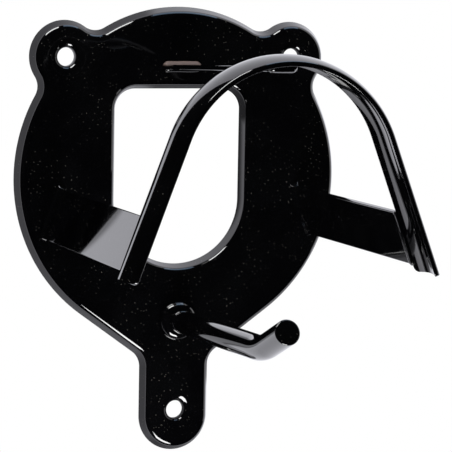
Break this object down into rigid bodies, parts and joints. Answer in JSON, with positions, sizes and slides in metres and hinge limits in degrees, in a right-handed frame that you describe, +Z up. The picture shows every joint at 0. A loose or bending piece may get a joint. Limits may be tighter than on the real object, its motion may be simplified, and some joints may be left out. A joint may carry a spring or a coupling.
{
  "type": "wall-mounted bridle rack",
  "caption": "Wall bracket that holds a bridle: a pressed, windowed backplate carries a domed strip arch on flat arms, with an upturned round rein hook below, in gloss black paint.",
  "frame": {"origin": "midway between the two upper screw holes, on the wall plane that the backplate's rim rests on", "axes": "+X to the right seen from the front, +Y into the wall, +Z up; the rack stands out along -Y"},
  "size_m": [0.1398, 0.1334, 0.1857],
  "materials": {
    "gloss_black": "gloss",
    "weld_paint": "gloss"
  },
  "bodies": {
    "root": {"backplate": "gloss_black", "arch": "gloss_black", "left_arm": "gloss_black", "right_arm": "gloss_black", "top_stay": "gloss_black", "rein_hook": "gloss_black", "hook_weld": "weld_paint", "left_root_weld": "weld_paint", "right_root_weld": "weld_paint", "left_tip_weld": "weld_paint", "right_tip_weld": "weld_paint", "stay_root_weld": "weld_paint", "stay_tip_weld": "weld_paint"}
  },
  "joints": []
}
